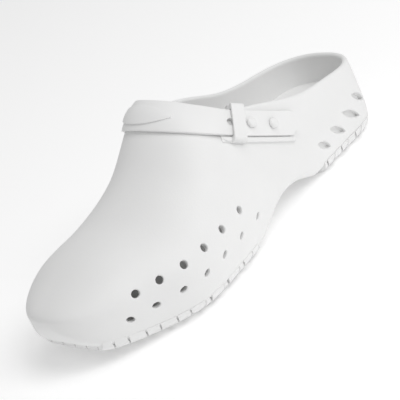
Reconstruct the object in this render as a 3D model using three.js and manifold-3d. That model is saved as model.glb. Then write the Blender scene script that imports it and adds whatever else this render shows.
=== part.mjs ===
// Moulded clog for the operating room, left shoe, in millimetres.
// The toe points along +X, the outer side of the foot lies at +Y, and +Z is up.
// While it is built, x runs from the back of the heel and z from the floor. Each part of the shoe
// is cut from the same form, moved inwards or outwards, so that all of them follow its sizes.

import * as THREE from 'three';
import { mergeVertices } from 'three/addons/utils/BufferGeometryUtils.js';
import Module from 'manifold-3d';

const wasm = await Module();
wasm.setup();

// Sizes of the form
const length = 268;
const ballWidth = 99;
const instepHeight = 84;
const bulgeHeight = 25.6;
const heelRound = 34;
const heelCrownRound = 62;
const heelUnderRound = 12;
const toeRound = 75;
const toeCrownRound = 58;
const toeUnderRound = 16;
const toeSpring = 12;
const archRise = 13.6;

// Sizes of the shell and the sole
const wall = 3.6;
const gap = 0.3;
const rimHeight = 4;
const lugDepth = 3;
const lugWidth = 9.2;
const grooveWidth = 0.9;
const lugColumnPitch = 15.5;
const insoleThickness = 3;
const footbedHeel = 25;
const footbedBall = 13;

// Sizes of the holes and slots in the wall
const ventRadius = 2.7;
const slotLength = 17;
const slotWidth = 4.6;
const slotSlant = 38;

// Sizes of the strap and of what holds it
const strapThickness = 2.2;
const strapTailWidth = 14.2;
const strapCrestWidth = 18;
const padRise = 0.8;
const padMargin = 3.4;
const padEnd = 3.5;
const padLength = 56;
const padInset = 1;
const innerPadMargin = 2;
const innerPadLength = 26;
const leafLength = 45;
const leafWidth = 10.6;
const leafRise = 1.6;
const leafSlant = 45;
const keeperWidth = 7.4;
const keeperThickness = 2;
const keeperClearance = 1.4;
const keeperLean = 12;
const keeperLeg = 3.2;
const keeperSeatMargin = 0.8;
const buttonRadius = 3;
const buttonHeight = 2.3;
const stemRadius = 1.9;
const holePitch = 15.2;
const tailToHole = 22;
const holePastKeeper = 0.6;
const innerTabStart = 26;
const innerTabHole = 9;

// Sections of the form from heel to toe. "at" is a share of the length. outer, inner, centre and
// ridge are shares of the ball width, widest of the bulge height and crest of the instep height.
// crown is the exponent of the rounding of the section's upper half.
const sections = [
  { at: 0.00, outer: 0.350, inner: 0.350, centre: 0.00, widest: 1.15, crest: 1.50, ridge: 0.00, crown: 2.3 },
  { at: 0.15, outer: 0.350, inner: 0.350, centre: 0.00, widest: 1.10, crest: 1.50, ridge: 0.00, crown: 2.3 },
  { at: 0.30, outer: 0.375, inner: 0.348, centre: 0.00, widest: 1.05, crest: 1.38, ridge: -0.01, crown: 2.2 },
  { at: 0.42, outer: 0.415, inner: 0.348, centre: 0.00, widest: 1.00, crest: 1.19, ridge: -0.07, crown: 2.1 },
  { at: 0.53, outer: 0.470, inner: 0.39, centre: 0.00, widest: 0.95, crest: 1.09, ridge: -0.10, crown: 2.0 },
  { at: 0.64, outer: 0.516, inner: 0.458, centre: 0.00, widest: 0.91, crest: 0.805, ridge: -0.06, crown: 2.0 },
  { at: 0.75, outer: 0.540, inner: 0.48, centre: -0.01, widest: 0.92, crest: 0.655, ridge: -0.06, crown: 2.1 },
  { at: 0.87, outer: 0.466, inner: 0.505, centre: -0.03, widest: 0.97, crest: 0.62, ridge: -0.04, crown: 2.2 },
  { at: 1.00, outer: 0.47, inner: 0.47, centre: -0.055, widest: 0.85, crest: 0.59, ridge: -0.02, crown: 2.3 },
];

// Exponents of the roundings: 2 is an arc, and a higher one is blunter
const heelBluntness = 2.3;
const toeBluntness = 2.25;
const toeCrownBluntness = 2.1;
const soleCorner = 6.4;
const archBow = 1.2;

// Places along the shoe, as shares of the length
const archRear = 0.262;
const archFront = 0.553;
const archMargin = 0.005;
const footbedLow = 0.65;
const ballFront = 0.76;
const treadHeelStart = 0.03;
const treadToeEnd = 0.96;
const overrun = 0.05;

// Shares of what each name says
const treadWidth = 0.87;
const smallestLug = 0.4;
const lugRoot = 0.9;
const crestShare = 0.78;

// Top line of the collar seen from the side, as shares of the length and of the instep height
const topLine = [
  { at: -0.05, outer: 0.55, inner: 0.55 },
  { at: 0.02, outer: 0.55, inner: 0.55 },
  { at: 0.12, outer: 0.583, inner: 0.58 },
  { at: 0.24, outer: 0.646, inner: 0.665 },
  { at: 0.36, outer: 0.797, inner: 0.845 },
  { at: 0.46, outer: 0.935, inner: 0.98 },
  { at: 0.518, outer: 1.11, inner: 1.11 },
  { at: 0.55, outer: 1.50, inner: 1.50 },
];

// Two rows of vent holes on the outer side, as shares of the length and of the bulge height. The
// holes come closer together towards the toe by the share bow.
const ventRows = [
  { first: 0.573, last: 0.871, bow: 0.19, count: 6, height: 1.28 },
  { first: 0.532, last: 0.901, bow: 0.17, count: 7, height: 0.82 },
];

// Slanted slots at the heel: the middle of each as shares as above, and its share of the full slot
const slots = [
  { at: 0.071, height: 0.93, long: 1.00 },
  { at: 0.122, height: 0.77, long: 1.00 },
  { at: 0.181, height: 0.71, long: 0.86 },
  { at: 0.240, height: 0.68, long: 0.72 },
];

// Middle line of the strap seen from the side, from its loose end up over the instep
const strapPath = [
  { at: 0.298, height: 0.514 },
  { at: 0.385, height: 0.683 },
  { at: 0.461, height: 0.838 },
  { at: 0.523, height: 1.007 },
  { at: 0.554, height: 1.093 },
  { at: 0.619, height: 1.274 },
];

// Turned outline of a button's head, as shares of its radius and of its height
const buttonProfile = [
  { out: 1.00, up: 0.00 },
  { out: 1.00, up: 0.35 },
  { out: 0.72, up: 0.82 },
  { out: 0.00, up: 1.00 },
];

// Heights that lie clear of the whole shoe
const farAbove = 3 * instepHeight;
const farBelow = -instepHeight;

// Smooth value of one column of a table at a share of the length
function column(table, name, at) {
  let k = 0;
  while (k < table.length - 2 && at > table[k + 1].at) k += 1;
  const last = table.length - 1;
  const slope = (a, b) => (table[b][name] - table[a][name]) / (table[b].at - table[a].at);
  const tangent = (i) => (i === 0 || i === last ? 0 : (slope(i - 1, i) + slope(i, i + 1)) / 2);
  const span = table[k + 1].at - table[k].at;
  const t = (at - table[k].at) / span;
  return table[k][name] * (2 * t ** 3 - 3 * t ** 2 + 1)
    + table[k + 1][name] * (3 * t ** 2 - 2 * t ** 3)
    + tangent(k) * span * (t ** 3 - 2 * t ** 2 + t)
    + tangent(k + 1) * span * (t ** 3 - t ** 2);
}

// Share of the full size that is left at a distance from a rounded end
function rounded(distance, round, bluntness = 2) {
  if (distance >= round) return 1;
  return (1 - (1 - Math.max(distance, 0) / round) ** bluntness) ** (1 / bluntness);
}

// Line on which the lugs end: flat on the floor, then rising to the toe
function groundAt(x) {
  const s = x / length;
  return s > ballFront ? toeSpring * ((s - ballFront) / (1 - ballFront)) ** 2 : 0;
}

// Underside of the sole between the lugs, hollow at the arch
function baseAt(x) {
  const s = x / length;
  const inArch = s > archRear && s < archFront;
  const turn = (Math.PI * (s - archRear)) / (archFront - archRear);
  return groundAt(x) + Math.max(lugDepth, inArch ? archRise * Math.sin(turn) ** archBow : 0);
}

// Line where the sole's rim ends and the upper begins
function seamAt(x) {
  return baseAt(x) + rimHeight;
}

// Top of the sole under the foot, high at the heel and low at the ball
function footbedAt(x) {
  const t = THREE.MathUtils.smoothstep(x / length, archRear, footbedLow);
  return groundAt(x) + footbedHeel + (footbedBall - footbedHeel) * t;
}

// Measures of the section of the form at x
function sectionAt(x) {
  const s = Math.min(Math.max(x / length, 0), 1);
  const plan = rounded(x, heelRound, heelBluntness) * rounded(length - x, toeRound, toeBluntness);
  const crown = rounded(x, heelCrownRound) * rounded(length - x, toeCrownRound, toeCrownBluntness);
  const low = rounded(x, heelUnderRound) * rounded(length - x, toeUnderRound);
  const widest = column(sections, 'widest', s) * bulgeHeight + groundAt(x);
  return {
    widest,
    crest: widest + (column(sections, 'crest', s) * instepHeight - widest) * crown,
    base: widest - (widest - baseAt(x)) * low,
    outer: column(sections, 'outer', s) * ballWidth * plan,
    inner: column(sections, 'inner', s) * ballWidth * plan,
    centre: column(sections, 'centre', s) * ballWidth,
    lean: column(sections, 'ridge', s) * ballWidth * plan,
    crown: column(sections, 'crown', s),
  };
}

// Ring of points round the form at x
function ring(x, spokes) {
  const m = sectionAt(x);
  const points = [];
  for (let i = 0; i < spokes; i += 1) {
    const side = Math.cos((2 * Math.PI * i) / spokes);
    const rise = Math.sin((2 * Math.PI * i) / spokes);
    const power = rise > 0 ? m.crown : soleCorner;
    const up = Math.abs(rise) ** (2 / power);
    const across = Math.sign(side) * Math.abs(side) ** (2 / power) * (side > 0 ? m.outer : m.inner);
    const lean = rise > 0 ? m.lean * up ** 2 : 0;
    const z = rise > 0 ? m.widest + (m.crest - m.widest) * up : m.widest - (m.widest - m.base) * up;
    points.push([x, m.centre + across + lean, z]);
  }
  return points;
}

// Closed skin of the form, moved inwards along its normals, or outwards by a negative inset
function skin(inset, stations = 28, spokes = 28) {
  const points = [];
  const starts = [];
  for (let i = 1; i < stations; i += 1) {
    starts.push(points.length);
    points.push(...ring((length / 2) * (1 - Math.cos((Math.PI * i) / stations)), spokes));
  }
  const heelPole = points.length;
  points.push(ring(0, 4)[0], ring(length, 4)[0]);
  const toePole = heelPole + 1;
  const end = starts[starts.length - 1];
  const faces = [];
  for (let j = 0; j < spokes; j += 1) {
    const next = (j + 1) % spokes;
    faces.push([heelPole, starts[0] + next, starts[0] + j], [toePole, end + j, end + next]);
    for (let i = 0; i < starts.length - 1; i += 1) {
      const a = starts[i];
      const b = starts[i + 1];
      faces.push([a + j, a + next, b + j], [a + next, b + next, b + j]);
    }
  }
  const geometry = new THREE.BufferGeometry();
  geometry.setAttribute('position', new THREE.BufferAttribute(new Float32Array(points.flat()), 3));
  geometry.setIndex(faces.flat());
  geometry.computeVertexNormals();
  const position = geometry.getAttribute('position');
  const normal = geometry.getAttribute('normal');
  for (let i = 0; i < position.count; i += 1) {
    const place = new THREE.Vector3().fromBufferAttribute(position, i);
    place.addScaledVector(new THREE.Vector3().fromBufferAttribute(normal, i), -inset);
    position.setXYZ(i, place.x, place.y, place.z);
  }
  return solid(geometry);
}

// Solid for joins and cuts from a closed geometry
function solid(geometry) {
  const bare = geometry.clone();
  bare.deleteAttribute('normal');
  bare.deleteAttribute('uv');
  const merged = mergeVertices(bare, 1e-4);
  return new wasm.Manifold(new wasm.Mesh({
    numProp: 3,
    vertProperties: new Float32Array(merged.getAttribute('position').array),
    triVerts: new Uint32Array(merged.getIndex().array),
  }));
}

function toGeometry(manifold) {
  const mesh = manifold.getMesh();
  const geometry = new THREE.BufferGeometry();
  geometry.setAttribute('position', new THREE.BufferAttribute(mesh.vertProperties, 3));
  geometry.setIndex(new THREE.BufferAttribute(mesh.triVerts, 1));
  return geometry;
}

// Solid with an outline in the side view, from one y to another
function sideSolid(outline, from = -ballWidth, to = ballWidth) {
  const geometry = new THREE.ExtrudeGeometry(new THREE.Shape(outline), { depth: to - from, bevelEnabled: false });
  geometry.rotateX(Math.PI / 2);
  geometry.translate(0, to, 0);
  return solid(geometry);
}

// Everything above a line along the shoe, or below it
function halfSpace(line, above, steps = 24) {
  const first = -overrun * length;
  const last = (1 + overrun) * length;
  const outline = [];
  for (let i = 0; i <= steps; i += 1) {
    const x = first + ((last - first) * i) / steps;
    outline.push(new THREE.Vector2(x, line(x)));
  }
  const far = above ? farAbove : farBelow;
  outline.push(new THREE.Vector2(last, far), new THREE.Vector2(first, far));
  return sideSolid(outline);
}

// What the collar takes away, with its own top line on each side of the foot. The two cutters
// overlap by the gap in the middle of the shoe.
function collarCutter(side, steps = 20) {
  const outline = [];
  const first = topLine[0].at;
  const last = topLine[topLine.length - 1].at;
  for (let i = 0; i <= steps; i += 1) {
    const at = first + ((last - first) * i) / steps;
    outline.push(new THREE.Vector2(at * length, column(topLine, side, at) * instepHeight));
  }
  outline.push(new THREE.Vector2(last * length, farAbove), new THREE.Vector2(first * length, farAbove));
  return side === 'outer' ? sideSolid(outline, -gap, ballWidth) : sideSolid(outline, -ballWidth, gap);
}

// Place and outward direction on the outer (side 1) or inner (side -1) wall at x and z
function wallPlace(x, z, side) {
  const y = (px, pz) => {
    const m = sectionAt(px);
    const top = pz > m.widest;
    const share = Math.min(top ? (pz - m.widest) / (m.crest - m.widest) : (m.widest - pz) / (m.widest - m.base), 1);
    const power = top ? m.crown : soleCorner;
    const half = side > 0 ? m.outer : m.inner;
    return m.centre + side * half * (1 - share ** power) ** (1 / power) + (top ? m.lean * share ** 2 : 0);
  };
  const step = gap;
  const slopeX = (y(x + step, z) - y(x - step, z)) / (2 * step);
  const slopeZ = (y(x, z + step) - y(x, z - step)) / (2 * step);
  const outward = new THREE.Vector3(-slopeX, 1, -slopeZ).multiplyScalar(side).normalize();
  return { point: new THREE.Vector3(x, y(x, z), z), outward };
}

// Turned piece or drill that stands on the wall, with its profile from the wall outwards
function standing(geometry, place) {
  geometry.applyQuaternion(new THREE.Quaternion().setFromUnitVectors(new THREE.Vector3(0, 1, 0), place.outward));
  geometry.translate(place.point.x, place.point.y, place.point.z);
  return solid(geometry);
}

function drill(place, radius, depth) {
  return standing(new THREE.CylinderGeometry(radius, radius, depth, 8), place);
}

function ventHoles() {
  const depth = 6 * wall;
  const drills = ventRows.flatMap((row) => Array.from({ length: row.count }, (unused, i) => {
    const t = i / (row.count - 1);
    const at = row.first + (row.last - row.first) * (t + row.bow * t * (1 - t));
    return drill(wallPlace(at * length, row.height * bulgeHeight, 1), ventRadius, depth);
  }));
  return wasm.Manifold.union(drills);
}

function heelSlots() {
  const middle = ballWidth / 8;
  const cutters = slots.flatMap((slot) => {
    const ellipse = new THREE.EllipseCurve(
      slot.at * length,
      slot.height * bulgeHeight,
      (slot.long * slotLength) / 2,
      slotWidth / 2,
      0,
      2 * Math.PI,
      false,
      THREE.MathUtils.degToRad(slotSlant),
    );
    const outline = ellipse.getPoints(10).slice(1);
    return [sideSolid(outline, middle, ballWidth), sideSolid(outline, -ballWidth, -middle)];
  });
  return wasm.Manifold.union(cutters);
}

const strapLine = new THREE.SplineCurve(
  strapPath.map((p) => new THREE.Vector2(p.at * length, p.height * instepHeight)),
);
const strapRun = strapLine.getLength();

// Places along the strap's line
const crestDistance = strapRun * crestShare;
const frontHole = tailToHole + holePitch;
const innerHole = innerTabStart + innerTabHole;
const keeperDistance = frontHole + buttonRadius + keeperClearance + keeperWidth / 2;
const freeHole = keeperDistance + keeperWidth / 2 + holePastKeeper;
const keeperReach = strapHalfWidth(keeperDistance + keeperWidth) + gap + keeperLeg;

// Point in the side view at a distance along the strap's middle line and an offset above it
function strapPoint(distance, offset = 0) {
  const share = Math.min(Math.max(distance / strapRun, 0), 1);
  const tangent = strapLine.getTangentAt(share);
  const point = strapLine.getPointAt(share);
  const over = distance - share * strapRun;
  point.addScaledVector(tangent, over);
  return new THREE.Vector2(point.x - tangent.y * offset, point.y + tangent.x * offset);
}

function strapHalfWidth(distance) {
  const t = THREE.MathUtils.smoothstep(distance, keeperDistance, crestDistance);
  return (strapTailWidth + (strapCrestWidth - strapTailWidth) * t) / 2;
}

// Band along the strap's line with a round end, wider than the strap by the two margins
function band(from, to, marginBelow, marginAbove, steps = 9, turns = 6) {
  const radius = strapHalfWidth(from) + (marginBelow + marginAbove) / 2;
  const shift = (marginAbove - marginBelow) / 2;
  const outline = [];
  for (let i = 0; i <= steps; i += 1) {
    const distance = from + radius + ((to - from - radius) * i) / steps;
    outline.push(strapPoint(distance, -strapHalfWidth(distance) - marginBelow));
  }
  for (let i = steps; i >= 0; i -= 1) {
    const distance = from + radius + ((to - from - radius) * i) / steps;
    outline.push(strapPoint(distance, strapHalfWidth(distance) + marginAbove));
  }
  for (let i = 1; i < turns; i += 1) {
    const angle = Math.PI / 2 - (Math.PI * i) / turns;
    outline.push(strapPoint(from + radius - radius * Math.cos(angle), shift + radius * Math.sin(angle)));
  }
  return outline;
}

// Bar across the strap's line, which leans towards the strap's tail at its top
function crossBar(distance, width, reach) {
  const lean = reach * Math.tan(THREE.MathUtils.degToRad(keeperLean));
  return [
    strapPoint(distance + lean - width / 2, -reach),
    strapPoint(distance + lean + width / 2, -reach),
    strapPoint(distance - lean + width / 2, reach),
    strapPoint(distance - lean - width / 2, reach),
  ];
}

// Heights over the form of what lies on it
const strapUnder = padRise + gap;
const strapTop = strapUnder + strapThickness;

// Layer that follows the form between two heights over it
function layer(low, high) {
  return skin(-high).subtract(skin(-low));
}

// Raised seats under the strap, flush with the wall's inside
function pads() {
  const seat = crossBar(keeperDistance, keeperWidth + 2 * keeperSeatMargin, keeperReach + gap);
  const outer = sideSolid(band(-padEnd, padLength, padMargin, -padInset), 0, ballWidth)
    .add(sideSolid(seat, 0, ballWidth));
  const start = innerTabStart - innerPadMargin;
  const inner = sideSolid(band(start, start + innerPadLength, innerPadMargin, -padInset), -ballWidth, 0);
  return layer(-wall, padRise).intersect(outer.add(inner));
}

function makeUpper() {
  const shell = skin(0).subtract(skin(wall)).intersect(halfSpace((x) => seamAt(x) + gap, true));
  const open = shell.subtract(collarCutter('outer')).subtract(collarCutter('inner'));
  return open.add(pads()).subtract(ventHoles()).subtract(heelSlots());
}

// Outline of the tread seen from below, between two places along the sole
function treadArea(fromAt, toAt, steps = 18) {
  const edge = (i, side) => {
    const x = (fromAt + ((toAt - fromAt) * i) / steps) * length;
    const m = sectionAt(x);
    return new THREE.Vector2(x, m.centre + (side > 0 ? m.outer : -m.inner) * treadWidth);
  };
  const outline = [];
  for (let i = 0; i <= steps; i += 1) outline.push(edge(i, 1));
  for (let i = steps; i >= 0; i -= 1) outline.push(edge(i, -1));
  const depth = farAbove - farBelow;
  const geometry = new THREE.ExtrudeGeometry(new THREE.Shape(outline), { depth, bevelEnabled: false });
  geometry.translate(0, 0, farBelow);
  return solid(geometry);
}

// Hexagonal lugs in columns across the sole, cut by the edge of the tread
function lugs() {
  const rowPitch = lugWidth + grooveWidth;
  const corner = lugWidth / Math.sqrt(3);
  const hexagon = Array.from({ length: 6 }, (unused, i) => new THREE.Vector2(
    corner * Math.cos((Math.PI * i) / 3),
    corner * Math.sin((Math.PI * i) / 3),
  ));
  const depth = lugDepth + archRise + toeSpring + rimHeight;
  const columns = Math.ceil(length / lugColumnPitch);
  const rows = Math.ceil(ballWidth / rowPitch / 2);
  const fields = treadArea(treadHeelStart, archRear - archMargin).add(treadArea(archFront, treadToeEnd));
  const kept = [];
  for (let i = 0; i < columns; i += 1) {
    for (let j = -rows; j <= rows; j += 1) {
      const geometry = new THREE.ExtrudeGeometry(new THREE.Shape(hexagon), { depth, bevelEnabled: false });
      geometry.translate((i + 0.5) * lugColumnPitch, j * rowPitch, -gap);
      const full = solid(geometry);
      const cut = full.intersect(fields);
      if (cut.volume() > smallestLug * full.volume()) kept.push(cut);
    }
  }
  return wasm.Manifold.union(kept)
    .intersect(halfSpace(groundAt, true))
    .intersect(halfSpace((x) => baseAt(x) + rimHeight * lugRoot, false));
}

function makeSole() {
  const rim = skin(0).intersect(halfSpace(seamAt, false));
  const block = skin(wall + gap).intersect(halfSpace(footbedAt, false));
  return rim.add(block).add(lugs());
}

function makeInsole() {
  return skin(wall + gap)
    .intersect(halfSpace((x) => footbedAt(x) + gap, true))
    .intersect(halfSpace((x) => footbedAt(x) + gap + insoleThickness, false));
}

// Places of the buttons and holes on the wall
function onWall(distance, side) {
  const p = strapPoint(distance);
  return wallPlace(p.x, p.y, side);
}

// Raised leaf on the strap over the instep, pointed at both ends
function leaf(steps = 8) {
  const middle = strapPoint(crestDistance);
  const half = leafLength / 2;
  const bow = leafWidth / 2;
  const radius = (half ** 2 + bow ** 2) / (2 * bow);
  const angle = Math.asin(half / radius);
  const edge = (i, side) => {
    const turn = side * (2 * angle * (i / steps) - angle);
    return new THREE.Vector2(side * (radius * Math.cos(turn) - radius + bow), radius * Math.sin(turn));
  };
  const outline = [];
  for (let i = 0; i < steps; i += 1) outline.push(edge(i, 1));
  for (let i = 0; i < steps; i += 1) outline.push(edge(i, -1));
  const geometry = new THREE.ExtrudeGeometry(new THREE.Shape(outline), { depth: instepHeight, bevelEnabled: false });
  geometry.translate(0, 0, -instepHeight / 2);
  geometry.rotateY(THREE.MathUtils.degToRad(leafSlant));
  geometry.translate(middle.x, column(sections, 'ridge', middle.x / length) * ballWidth, middle.y);
  return layer(strapTop - strapThickness / 2, strapTop + leafRise).intersect(solid(geometry));
}

function makeStrap() {
  const over = strapRun + strapCrestWidth;
  const outer = sideSolid(band(0, over, 0, 0), -gap, ballWidth);
  const inner = sideSolid(band(innerTabStart, over, 0, 0), -ballWidth, 0);
  const depth = 4 * strapTop;
  const places = [tailToHole, frontHole, freeHole].map((distance) => onWall(distance, 1));
  places.push(onWall(innerHole, -1));
  const holes = places.map((place) => drill(place, stemRadius + gap, depth));
  return layer(strapUnder, strapTop).intersect(outer.add(inner)).add(leaf())
    .subtract(wasm.Manifold.union(holes));
}

function makeKeeper() {
  const under = strapTop + gap;
  const bar = crossBar(keeperDistance, keeperWidth, keeperReach);
  const inside = crossBar(keeperDistance, keeperWidth + 2 * gap, keeperReach - keeperLeg);
  const whole = layer(strapUnder, under + keeperThickness).intersect(sideSolid(bar, 0, ballWidth));
  const hollow = layer(0, under).intersect(sideSolid(inside, 0, ballWidth));
  return whole.subtract(hollow);
}

function makeButton(distance, side) {
  const head = strapTop + gap;
  const stem = [
    new THREE.Vector2(0, strapUnder),
    new THREE.Vector2(stemRadius, strapUnder),
    new THREE.Vector2(stemRadius, head),
  ];
  const cap = buttonProfile.map((p) => new THREE.Vector2(p.out * buttonRadius, head + p.up * buttonHeight));
  return standing(new THREE.LatheGeometry([...stem, ...cap], 12), onWall(distance, side));
}

const moulded = { color: 0xf1f1ef, roughness: 0.55, metalness: 0 };

function addPiece(group, name, piece) {
  const mesh = new THREE.Mesh(toGeometry(piece), new THREE.MeshStandardMaterial(moulded));
  mesh.name = name;
  group.add(mesh);
}

const shoe = new THREE.Group();
addPiece(shoe, 'upper', makeUpper());
addPiece(shoe, 'sole', makeSole());
addPiece(shoe, 'insole', makeInsole());
addPiece(shoe, 'strap', makeStrap());
addPiece(shoe, 'strap_keeper', makeKeeper());
addPiece(shoe, 'button_rear', makeButton(tailToHole, 1));
addPiece(shoe, 'button_front', makeButton(frontHole, 1));
addPiece(shoe, 'button_inner', makeButton(innerHole, -1));

// The origin goes to the middle of the shoe, on the floor
const box = new THREE.Box3().setFromObject(shoe);
shoe.position.set(-(box.min.x + box.max.x) / 2, -(box.min.y + box.max.y) / 2, -box.min.z);
const group = new THREE.Group();
group.add(shoe);

export default group;
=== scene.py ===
# Moulded clog for the operating room, left shoe: its looks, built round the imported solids.
# Sizes are in millimetres and repeat those of the part. A mesh is shaped in the draft's own place,
# with x from the back of the heel and z from the floor, and then put into the frame in metres.

import math
from functools import lru_cache

import bmesh
import bpy
from mathutils import Matrix, Vector


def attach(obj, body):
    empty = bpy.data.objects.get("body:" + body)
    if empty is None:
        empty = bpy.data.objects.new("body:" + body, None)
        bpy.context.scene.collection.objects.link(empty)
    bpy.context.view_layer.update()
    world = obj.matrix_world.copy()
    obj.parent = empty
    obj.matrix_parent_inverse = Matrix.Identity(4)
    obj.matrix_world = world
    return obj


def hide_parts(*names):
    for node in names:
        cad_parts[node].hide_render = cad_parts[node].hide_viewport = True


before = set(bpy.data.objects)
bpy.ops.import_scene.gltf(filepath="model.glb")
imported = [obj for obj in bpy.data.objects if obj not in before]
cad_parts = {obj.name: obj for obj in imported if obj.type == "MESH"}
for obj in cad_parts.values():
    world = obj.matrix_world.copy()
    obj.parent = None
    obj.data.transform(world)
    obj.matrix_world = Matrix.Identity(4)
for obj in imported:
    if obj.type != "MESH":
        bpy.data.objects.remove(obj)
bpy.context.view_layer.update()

# Sizes of the form
LENGTH = 268
BALL_WIDTH = 99
INSTEP_HEIGHT = 84
BULGE_HEIGHT = 25.6
HEEL_ROUND = 34
HEEL_CROWN_ROUND = 62
HEEL_UNDER_ROUND = 12
TOE_ROUND = 75
TOE_CROWN_ROUND = 58
TOE_UNDER_ROUND = 16
TOE_SPRING = 12
ARCH_RISE = 13.6
ACROSS_MIDDLE = 1.8

# Sizes of the shell and the sole
WALL = 3.6
GAP = 0.3
RIM_HEIGHT = 4
LUG_DEPTH = 3
LUG_ROOT = 5
LUG_WIDTH = 9.2
GROOVE_WIDTH = 0.9
LUG_COLUMN_PITCH = 15.5
INSOLE_THICKNESS = 3
INSOLE_DISH = 2
FOOTBED_HEEL = 25
FOOTBED_BALL = 13

# Sizes of the holes and slots in the wall
VENT_RADIUS = 2.4
SLOT_LENGTH = 17
SLOT_WIDTH = 4.6
SLOT_SLANT = 38
SLOT_POINT = 0.5
SLOT_SLOPE = 0.5
SLOT_DEPTH = 3
HOLE_ROUND = 0.7
VENT_REACH = 3 * WALL
VENT_LEAN_POWER = 4

# Sizes of the strap and of what holds it
STRAP_THICKNESS = 2.2
STRAP_TAIL_WIDTH = 14.2
STRAP_CREST_WIDTH = 18
STRAP_ROUND = 0.8
STRAP_CROWN = 0.4
STRAP_HOLE_ROUND = 0.4
SINK_RUN = 12
PAD_RISE = 0.8
PAD_MARGIN = 3.4
PAD_END = 3.5
PAD_LENGTH = 56
PAD_INSET = 1
PAD_FOOT = 1
PAD_ROUND = 0.4
LIP_RISE = 1.9
LIP_GROOVE = 0.5
LIP_ROUND = 0.8
LIP_START = 1
LIP_LEAD = 0.5
LIP_END_ROUND = 4
INNER_PAD_MARGIN = 2
INNER_PAD_LENGTH = 26
LEAF_LENGTH = 45
LEAF_WIDTH = 10.6
LEAF_RISE = 1
LEAF_EDGE = 0.7
LEAF_FOOT = 1
LEAF_ROUND = 0.3
LEAF_SLANT = 45
KEEPER_WIDTH = 7.4
KEEPER_THICKNESS = 2
KEEPER_CLEARANCE = 1.4
KEEPER_LEAN = 12
KEEPER_LEG = 3.2
KEEPER_SEAT_MARGIN = 0.3
KEEPER_SEAT_ROUND = 0.5
KEEPER_SHOULDER = 2.2
KEEPER_END_ROUND = 0.5
BUTTON_RADIUS = 3
BUTTON_HEIGHT = 2.3
BUTTON_EDGE = 0.3
BUTTON_CHAMFER = 0.2
BUTTON_BLUNTNESS = 0.8
STEM_RADIUS = 1.9
HOLE_PITCH = 15.2
TAIL_TO_HOLE = 22
HOLE_PAST_KEEPER = 0.6
INNER_TAB_START = 26
INNER_TAB_HOLE = 9

# Sections of the form from heel to toe, as shares of the length, the ball width, the bulge height
# and the instep height, with the exponent of the upper half's rounding
SECTIONS = [
    dict(at=0.00, outer=0.350, inner=0.350, centre=0.00, widest=1.15, crest=1.50, ridge=0.00, crown=2.3),
    dict(at=0.15, outer=0.350, inner=0.350, centre=0.00, widest=1.10, crest=1.50, ridge=0.00, crown=2.3),
    dict(at=0.30, outer=0.375, inner=0.348, centre=0.00, widest=1.05, crest=1.38, ridge=-0.01, crown=2.2),
    dict(at=0.42, outer=0.415, inner=0.348, centre=0.00, widest=1.00, crest=1.19, ridge=-0.07, crown=2.1),
    dict(at=0.53, outer=0.470, inner=0.39, centre=0.00, widest=0.95, crest=1.09, ridge=-0.10, crown=2.0),
    dict(at=0.64, outer=0.516, inner=0.458, centre=0.00, widest=0.91, crest=0.805, ridge=-0.06, crown=2.0),
    dict(at=0.75, outer=0.540, inner=0.48, centre=-0.01, widest=0.92, crest=0.655, ridge=-0.06, crown=2.1),
    dict(at=0.87, outer=0.466, inner=0.505, centre=-0.03, widest=0.97, crest=0.62, ridge=-0.04, crown=2.2),
    dict(at=1.00, outer=0.47, inner=0.47, centre=-0.055, widest=0.85, crest=0.59, ridge=-0.02, crown=2.3),
]
HEEL_BLUNTNESS = 2.3
TOE_BLUNTNESS = 2.25
TOE_CROWN_BLUNTNESS = 2.1
SOLE_CORNER = 6.4
ARCH_BOW = 1.2

# Places along the shoe, as shares of the length
ARCH_REAR = 0.262
ARCH_FRONT = 0.553
ARCH_MARGIN = 0.005
FOOTBED_LOW = 0.65
BALL_FRONT = 0.76
TREAD_HEEL_START = 0.03
TREAD_TOE_END = 0.958
TREAD_WIDTH = 0.975
TREAD_INSET = 0.25
SMALLEST_LUG = 0.2
CREST_SHARE = 0.78

# A lug from its root to its face and down into its dimple: height over the ground, share of the outline
LUG_EDGE = [(LUG_DEPTH + LUG_ROOT, 1), (0.7, 1), (0.2, 0.985), (0, 0.93)]
LUG_DIMPLE = [(0, 0.3), (0.5, 0.24), (1, 0.09)]
HEXAGON_CUT = 0.1
LOZENGE_CUT = 0.12
LUGS_ASIDE = 5

# The lip's width, rise and shoulder at its ends, as shares of those in its middle
LIP_END_WIDTH = 0.2
LIP_END_RISE = 0.4
LIP_END_SHOULDER = 0.3

# Top line of the collar seen from the side, as shares of the length and of the instep height
TOP_LINE = [
    dict(at=-0.05, outer=0.55, inner=0.55),
    dict(at=0.02, outer=0.55, inner=0.55),
    dict(at=0.12, outer=0.583, inner=0.58),
    dict(at=0.24, outer=0.646, inner=0.665),
    dict(at=0.36, outer=0.797, inner=0.845),
    dict(at=0.46, outer=0.935, inner=0.98),
    dict(at=0.518, outer=1.11, inner=1.11),
    dict(at=0.55, outer=1.50, inner=1.50),
]

# Rows of vent holes and the slots at the heel, as shares of the length and of the bulge height
VENT_ROWS = [
    dict(first=0.573, last=0.871, bow=0.19, count=6, height=1.28,
         rear_narrow=0.85, front_narrow=0.95, rear_lean=80, front_lean=0),
    dict(first=0.532, last=0.901, bow=0.17, count=7, height=0.82,
         rear_narrow=0.42, front_narrow=0.7, rear_lean=28, front_lean=-29),
]
SLOTS = [
    dict(at=0.071, height=0.93, long=1.00),
    dict(at=0.122, height=0.77, long=1.00),
    dict(at=0.181, height=0.71, long=0.86),
    dict(at=0.240, height=0.68, long=0.72),
]

# Middle line of the strap seen from the side, as shares of the length and of the instep height
STRAP_PATH = [(0.298, 0.514), (0.385, 0.683), (0.461, 0.838), (0.523, 1.007), (0.554, 1.093), (0.619, 1.274)]

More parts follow.
